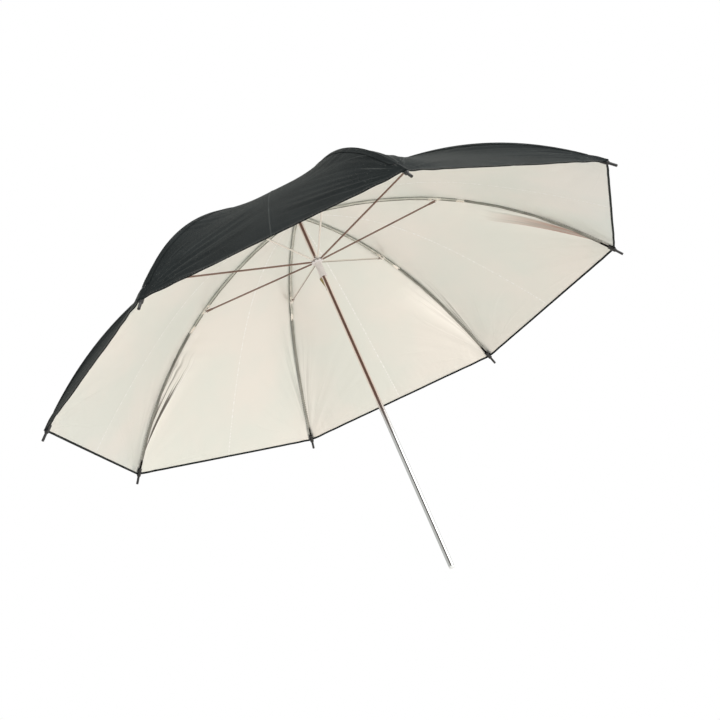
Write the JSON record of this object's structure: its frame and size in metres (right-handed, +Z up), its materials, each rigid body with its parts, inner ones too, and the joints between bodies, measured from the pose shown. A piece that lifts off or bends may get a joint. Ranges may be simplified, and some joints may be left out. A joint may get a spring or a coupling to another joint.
{
  "type": "umbrella reflector",
  "caption": "Folding studio umbrella, black outside and silver inside, with steel ribs, stretchers and a sliding runner on a straight metal shaft.",
  "frame": {"origin": "centre of the flat face at the shaft's lower end", "axes": "+Z up the shaft to the crown; +X along the first rib"},
  "size_m": [0.9172, 0.9172, 0.5926],
  "materials": {
    "shaft_chrome": "polished",
    "stretcher_chrome": "polished",
    "rib_steel": "plated",
    "wire_steel": "drawn wire",
    "catch_brass": "dull",
    "hub_plastic": "satin",
    "plug_plastic": "milky",
    "black_plastic": "satin",
    "tip_plastic": "satin",
    "canopy_fabric": "woven, silver coated inside"
  },
  "bodies": {
    "shaft": {"shaft_tube": "shaft_chrome", "shaft_end_plug": "plug_plastic", "crown_notch": "hub_plastic", "crown_wire": "wire_steel", "canopy_washer": "black_plastic", "top_cap": "black_plastic", "stop_pin": "wire_steel"},
    "catch": {"catch_spring": "catch_brass"},
    "rib_1_inner": {"rib_inner_1": "rib_steel"},
    "rib_1_outer": {"rib_outer_1": "rib_steel", "rib_tip_1": "tip_plastic"},
    "stretcher_1": {"stretcher_1": "stretcher_chrome"},
    "gore_1_left": {"canopy_1_left": "canopy_fabric"},
    "gore_1_right": {"canopy_1_right": "canopy_fabric"},
    "rib_2_inner": {"rib_inner_2": "rib_steel"},
    "rib_2_outer": {"rib_outer_2": "rib_steel", "rib_tip_2": "tip_plastic"},
    "stretcher_2": {"stretcher_2": "stretcher_chrome"},
    "gore_2_left": {"canopy_2_left": "canopy_fabric"},
    "gore_2_right": {"canopy_2_right": "canopy_fabric"},
    "rib_3_inner": {"rib_inner_3": "rib_steel"},
    "rib_3_outer": {"rib_outer_3": "rib_steel", "rib_tip_3": "tip_plastic"},
    "stretcher_3": {"stretcher_3": "stretcher_chrome"},
    "gore_3_left": {"canopy_3_left": "canopy_fabric"},
    "gore_3_right": {"canopy_3_right": "canopy_fabric"},
    "rib_4_inner": {"rib_inner_4": "rib_steel"},
    "rib_4_outer": {"rib_outer_4": "rib_steel", "rib_tip_4": "tip_plastic"},
    "stretcher_4": {"stretcher_4": "stretcher_chrome"},
    "gore_4_left": {"canopy_4_left": "canopy_fabric"},
    "gore_4_right": {"canopy_4_right": "canopy_fabric"},
    "rib_5_inner": {"rib_inner_5": "rib_steel"},
    "rib_5_outer": {"rib_outer_5": "rib_steel", "rib_tip_5": "tip_plastic"},
    "stretcher_5": {"stretcher_5": "stretcher_chrome"},
    "gore_5_left": {"canopy_5_left": "canopy_fabric"},
    "gore_5_right": {"canopy_5_right": "canopy_fabric"},
    "rib_6_inner": {"rib_inner_6": "rib_steel"},
    "rib_6_outer": {"rib_outer_6": "rib_steel", "rib_tip_6": "tip_plastic"},
    "stretcher_6": {"stretcher_6": "stretcher_chrome"},
    "gore_6_left": {"canopy_6_left": "canopy_fabric"},
    "gore_6_right": {"canopy_6_right": "canopy_fabric"},
    "rib_7_inner": {"rib_inner_7": "rib_steel"},
    "rib_7_outer": {"rib_outer_7": "rib_steel", "rib_tip_7": "tip_plastic"},
    "stretcher_7": {"stretcher_7": "stretcher_chrome"},
    "gore_7_left": {"canopy_7_left": "canopy_fabric"},
    "gore_7_right": {"canopy_7_right": "canopy_fabric"},
    "rib_8_inner": {"rib_inner_8": "rib_steel"},
    "rib_8_outer": {"rib_outer_8": "rib_steel", "rib_tip_8": "tip_plastic"},
    "stretcher_8": {"stretcher_8": "stretcher_chrome"},
    "gore_8_left": {"canopy_8_left": "canopy_fabric"},
    "gore_8_right": {"canopy_8_right": "canopy_fabric"},
    "runner": {"runner": "hub_plastic", "runner_wire": "wire_steel"}
  },
  "joints": [
    {"name": "rib_1_pivot", "type": "hinge", "parent": "shaft", "child": "rib_1_inner", "pos_m": [0.007, 0, 0.5727], "axis": [0, 1, 0], "range_deg": [0, 73.74]},
    {"name": "rib_1_flex", "type": "hinge", "parent": "rib_1_inner", "child": "rib_1_outer", "pos_m": [0.25685, 0, 0.52073], "axis": [0, 1, 0], "range_deg": [-19.01, 0]},
    {"name": "stretcher_1_pivot", "type": "hinge", "parent": "rib_1_inner", "child": "stretcher_1", "pos_m": [0.21339, 0, 0.53348], "axis": [0, 1, 0], "range_deg": [-147.5, 0]},
    {"name": "gore_1_left_fold", "type": "hinge", "parent": "rib_1_inner", "child": "gore_1_left", "pos_m": [0.007, 0, 0.5727], "axis": [0.9254, -0.1642, -0.3414], "range_deg": [0, 52.68], "deforming": ["canopy_1_left"]},
    {"name": "gore_1_right_fold", "type": "hinge", "parent": "rib_1_inner", "child": "gore_1_right", "pos_m": [0.007, 0, 0.5727], "axis": [-0.9254, -0.1642, 0.3414], "range_deg": [0, 52.68], "deforming": ["canopy_1_right"]},
    {"name": "rib_2_pivot", "type": "hinge", "parent": "shaft", "child": "rib_2_inner", "pos_m": [0.00495, 0.00495, 0.5727], "axis": [-0.7071, 0.7071, 0], "range_deg": [0, 73.75]},
    {"name": "rib_2_flex", "type": "hinge", "parent": "rib_2_inner", "child": "rib_2_outer", "pos_m": [0.18162, 0.18162, 0.52073], "axis": [-0.7071, 0.7071, 0], "range_deg": [-19.01, 0]},
    {"name": "stretcher_2_pivot", "type": "hinge", "parent": "rib_2_inner", "child": "stretcher_2", "pos_m": [0.15089, 0.15089, 0.53348], "axis": [-0.7071, 0.7071, 0], "range_deg": [-147.5, 0]},
    {"name": "gore_2_left_fold", "type": "hinge", "parent": "rib_2_inner", "child": "gore_2_left", "pos_m": [0.00495, 0.00495, 0.5727], "axis": [0.7705, 0.5382, -0.3414], "range_deg": [0, 52.68], "deforming": ["canopy_2_left"]},
    {"name": "gore_2_right_fold", "type": "hinge", "parent": "rib_2_inner", "child": "gore_2_right", "pos_m": [0.00495, 0.00495, 0.5727], "axis": [-0.5382, -0.7705, 0.3414], "range_deg": [0, 52.68], "deforming": ["canopy_2_right"]},
    {"name": "rib_3_pivot", "type": "hinge", "parent": "shaft", "child": "rib_3_inner", "pos_m": [0, 0.007, 0.5727], "axis": [-1, 0, 0], "range_deg": [0, 73.75]},
    {"name": "rib_3_flex", "type": "hinge", "parent": "rib_3_inner", "child": "rib_3_outer", "pos_m": [0, 0.25685, 0.52073], "axis": [-1, 0, 0], "range_deg": [-19.01, 0]},
    {"name": "stretcher_3_pivot", "type": "hinge", "parent": "rib_3_inner", "child": "stretcher_3", "pos_m": [0, 0.21339, 0.53348], "axis": [-1, 0, 0], "range_deg": [-147.5, 0]},
    {"name": "gore_3_left_fold", "type": "hinge", "parent": "rib_3_inner", "child": "gore_3_left", "pos_m": [0, 0.007, 0.5727], "axis": [0.1642, 0.9254, -0.3414], "range_deg": [0, 52.68], "deforming": ["canopy_3_left"]},
    {"name": "gore_3_right_fold", "type": "hinge", "parent": "rib_3_inner", "child": "gore_3_right", "pos_m": [0, 0.007, 0.5727], "axis": [0.1642, -0.9254, 0.3414], "range_deg": [0, 52.68], "deforming": ["canopy_3_right"]},
    {"name": "rib_4_pivot", "type": "hinge", "parent": "shaft", "child": "rib_4_inner", "pos_m": [-0.00495, 0.00495, 0.5727], "axis": [-0.7071, -0.7071, 0], "range_deg": [0, 73.75]},
    {"name": "rib_4_flex", "type": "hinge", "parent": "rib_4_inner", "child": "rib_4_outer", "pos_m": [-0.18162, 0.18162, 0.52073], "axis": [-0.7071, -0.7071, 0], "range_deg": [-19.01, 0]},
    {"name": "stretcher_4_pivot", "type": "hinge", "parent": "rib_4_inner", "child": "stretcher_4", "pos_m": [-0.15089, 0.15089, 0.53348], "axis": [-0.7071, -0.7071, 0], "range_deg": [-147.5, 0]},
    {"name": "gore_4_left_fold", "type": "hinge", "parent": "rib_4_inner", "child": "gore_4_left", "pos_m": [-0.00495, 0.00495, 0.5727], "axis": [-0.5382, 0.7705, -0.3414], "range_deg": [0, 52.68], "deforming": ["canopy_4_left"]},
    {"name": "gore_4_right_fold", "type": "hinge", "parent": "rib_4_inner", "child": "gore_4_right", "pos_m": [-0.00495, 0.00495, 0.5727], "axis": [0.7705, -0.5382, 0.3414], "range_deg": [0, 52.68], "deforming": ["canopy_4_right"]},
    {"name": "rib_5_pivot", "type": "hinge", "parent": "shaft", "child": "rib_5_inner", "pos_m": [-0.007, 0, 0.5727], "axis": [0, -1, 0], "range_deg": [0, 73.75]},
    {"name": "rib_5_flex", "type": "hinge", "parent": "rib_5_inner", "child": "rib_5_outer", "pos_m": [-0.25685, 0, 0.52073], "axis": [0, -1, 0], "range_deg": [-19.01, 0]},
    {"name": "stretcher_5_pivot", "type": "hinge", "parent": "rib_5_inner", "child": "stretcher_5", "pos_m": [-0.21339, 0, 0.53348], "axis": [0, -1, 0], "range_deg": [-147.5, 0]},
    {"name": "gore_5_left_fold", "type": "hinge", "parent": "rib_5_inner", "child": "gore_5_left", "pos_m": [-0.007, 0, 0.5727], "axis": [-0.9254, 0.1642, -0.3414], "range_deg": [0, 52.68], "deforming": ["canopy_5_left"]},
    {"name": "gore_5_right_fold", "type": "hinge", "parent": "rib_5_inner", "child": "gore_5_right", "pos_m": [-0.007, 0, 0.5727], "axis": [0.9254, 0.1642, 0.3414], "range_deg": [0, 52.68], "deforming": ["canopy_5_right"]},
    {"name": "rib_6_pivot", "type": "hinge", "parent": "shaft", "child": "rib_6_inner", "pos_m": [-0.00495, -0.00495, 0.5727], "axis": [0.7071, -0.7071, 0], "range_deg": [0, 73.75]},
    {"name": "rib_6_flex", "type": "hinge", "parent": "rib_6_inner", "child": "rib_6_outer", "pos_m": [-0.18162, -0.18162, 0.52073], "axis": [0.7071, -0.7071, 0], "range_deg": [-19.01, 0]},
    {"name": "stretcher_6_pivot", "type": "hinge", "parent": "rib_6_inner", "child": "stretcher_6", "pos_m": [-0.15089, -0.15089, 0.53348], "axis": [0.7071, -0.7071, 0], "range_deg": [-147.5, 0]},
    {"name": "gore_6_left_fold", "type": "hinge", "parent": "rib_6_inner", "child": "gore_6_left", "pos_m": [-0.00495, -0.00495, 0.5727], "axis": [-0.7705, -0.5382, -0.3414], "range_deg": [0, 52.68], "deforming": ["canopy_6_left"]},
    {"name": "gore_6_right_fold", "type": "hinge", "parent": "rib_6_inner", "child": "gore_6_right", "pos_m": [-0.00495, -0.00495, 0.5727], "axis": [0.5382, 0.7705, 0.3414], "range_deg": [0, 52.68], "deforming": ["canopy_6_right"]},
    {"name": "rib_7_pivot", "type": "hinge", "parent": "shaft", "child": "rib_7_inner", "pos_m": [0, -0.007, 0.5727], "axis": [1, 0, 0], "range_deg": [0, 73.75]},
    {"name": "rib_7_flex", "type": "hinge", "parent": "rib_7_inner", "child": "rib_7_outer", "pos_m": [0, -0.25685, 0.52073], "axis": [1, 0, 0], "range_deg": [-19.01, 0]},
    {"name": "stretcher_7_pivot", "type": "hinge", "parent": "rib_7_inner", "child": "stretcher_7", "pos_m": [0, -0.21339, 0.53348], "axis": [1, 0, 0], "range_deg": [-147.5, 0]},
    {"name": "gore_7_left_fold", "type": "hinge", "parent": "rib_7_inner", "child": "gore_7_left", "pos_m": [0, -0.007, 0.5727], "axis": [-0.1642, -0.9254, -0.3414], "range_deg": [0, 52.68], "deforming": ["canopy_7_left"]},
    {"name": "gore_7_right_fold", "type": "hinge", "parent": "rib_7_inner", "child": "gore_7_right", "pos_m": [0, -0.007, 0.5727], "axis": [-0.1642, 0.9254, 0.3414], "range_deg": [0, 52.68], "deforming": ["canopy_7_right"]},
    {"name": "rib_8_pivot", "type": "hinge", "parent": "shaft", "child": "rib_8_inner", "pos_m": [0.00495, -0.00495, 0.5727], "axis": [0.7071, 0.7071, 0], "range_deg": [0, 73.75]},
    {"name": "rib_8_flex", "type": "hinge", "parent": "rib_8_inner", "child": "rib_8_outer", "pos_m": [0.18162, -0.18162, 0.52073], "axis": [0.7071, 0.7071, 0], "range_deg": [-19.01, 0]},
    {"name": "stretcher_8_pivot", "type": "hinge", "parent": "rib_8_inner", "child": "stretcher_8", "pos_m": [0.15089, -0.15089, 0.53348], "axis": [0.7071, 0.7071, 0], "range_deg": [-147.5, 0]},
    {"name": "gore_8_left_fold", "type": "hinge", "parent": "rib_8_inner", "child": "gore_8_left", "pos_m": [0.00495, -0.00495, 0.5727], "axis": [0.5382, -0.7705, -0.3414], "range_deg": [0, 52.68], "deforming": ["canopy_8_left"]},
    {"name": "gore_8_right_fold", "type": "hinge", "parent": "rib_8_inner", "child": "gore_8_right", "pos_m": [0.00495, -0.00495, 0.5727], "axis": [-0.7705, 0.5382, 0.3414], "range_deg": [0, 52.68], "deforming": ["canopy_8_right"]},
    {"name": "runner_pivot", "type": "hinge", "parent": "stretcher_1", "child": "runner", "pos_m": [0.007, 0, 0.49427], "axis": [0, 1, 0], "range_deg": [0, 73.75]},
    {"name": "catch_press", "type": "hinge", "parent": "shaft", "child": "catch", "pos_m": [-0.00031, -0.00177, 0.44627], "axis": [0.9848, -0.1736, 0], "range_deg": [-9, 0], "deforming": ["catch_spring"]}
  ],
  "couplings": [
    {"joint": "rib_1_flex", "follows": "rib_1_pivot", "ratio": -0.25766},
    {"joint": "stretcher_1_pivot", "follows": "rib_1_pivot", "ratio": -2},
    {"joint": "gore_1_left_fold", "follows": "rib_1_pivot", "ratio": 0.71422},
    {"joint": "gore_1_right_fold", "follows": "rib_1_pivot", "ratio": 0.71422},
    {"joint": "rib_2_pivot", "follows": "rib_1_pivot", "ratio": 1},
    {"joint": "rib_2_flex", "follows": "rib_1_pivot", "ratio": -0.25766},
    {"joint": "stretcher_2_pivot", "follows": "rib_1_pivot", "ratio": -2},
    {"joint": "gore_2_left_fold", "follows": "rib_1_pivot", "ratio": 0.71422},
    {"joint": "gore_2_right_fold", "follows": "rib_1_pivot", "ratio": 0.71422},
    {"joint": "rib_3_pivot", "follows": "rib_1_pivot", "ratio": 1},
    {"joint": "rib_3_flex", "follows": "rib_1_pivot", "ratio": -0.25766},
    {"joint": "stretcher_3_pivot", "follows": "rib_1_pivot", "ratio": -2},
    {"joint": "gore_3_left_fold", "follows": "rib_1_pivot", "ratio": 0.71422},
    {"joint": "gore_3_right_fold", "follows": "rib_1_pivot", "ratio": 0.71422},
    {"joint": "rib_4_pivot", "follows": "rib_1_pivot", "ratio": 1},
    {"joint": "rib_4_flex", "follows": "rib_1_pivot", "ratio": -0.25766},
    {"joint": "stretcher_4_pivot", "follows": "rib_1_pivot", "ratio": -2},
    {"joint": "gore_4_left_fold", "follows": "rib_1_pivot", "ratio": 0.71422},
    {"joint": "gore_4_right_fold", "follows": "rib_1_pivot", "ratio": 0.71422},
    {"joint": "rib_5_pivot", "follows": "rib_1_pivot", "ratio": 1},
    {"joint": "rib_5_flex", "follows": "rib_1_pivot", "ratio": -0.25766},
    {"joint": "stretcher_5_pivot", "follows": "rib_1_pivot", "ratio": -2},
    {"joint": "gore_5_left_fold", "follows": "rib_1_pivot", "ratio": 0.71422},
    {"joint": "gore_5_right_fold", "follows": "rib_1_pivot", "ratio": 0.71422},
    {"joint": "rib_6_pivot", "follows": "rib_1_pivot", "ratio": 1},
    {"joint": "rib_6_flex", "follows": "rib_1_pivot", "ratio": -0.25766},
    {"joint": "stretcher_6_pivot", "follows": "rib_1_pivot", "ratio": -2},
    {"joint": "gore_6_left_fold", "follows": "rib_1_pivot", "ratio": 0.71422},
    {"joint": "gore_6_right_fold", "follows": "rib_1_pivot", "ratio": 0.71422},
    {"joint": "rib_7_pivot", "follows": "rib_1_pivot", "ratio": 1},
    {"joint": "rib_7_flex", "follows": "rib_1_pivot", "ratio": -0.25766},
    {"joint": "stretcher_7_pivot", "follows": "rib_1_pivot", "ratio": -2},
    {"joint": "gore_7_left_fold", "follows": "rib_1_pivot", "ratio": 0.71422},
    {"joint": "gore_7_right_fold", "follows": "rib_1_pivot", "ratio": 0.71422},
    {"joint": "rib_8_pivot", "follows": "rib_1_pivot", "ratio": 1},
    {"joint": "rib_8_flex", "follows": "rib_1_pivot", "ratio": -0.25766},
    {"joint": "stretcher_8_pivot", "follows": "rib_1_pivot", "ratio": -2},
    {"joint": "gore_8_left_fold", "follows": "rib_1_pivot", "ratio": 0.71422},
    {"joint": "gore_8_right_fold", "follows": "rib_1_pivot", "ratio": 0.71422},
    {"joint": "runner_pivot", "follows": "rib_1_pivot", "ratio": 1}
  ]
}
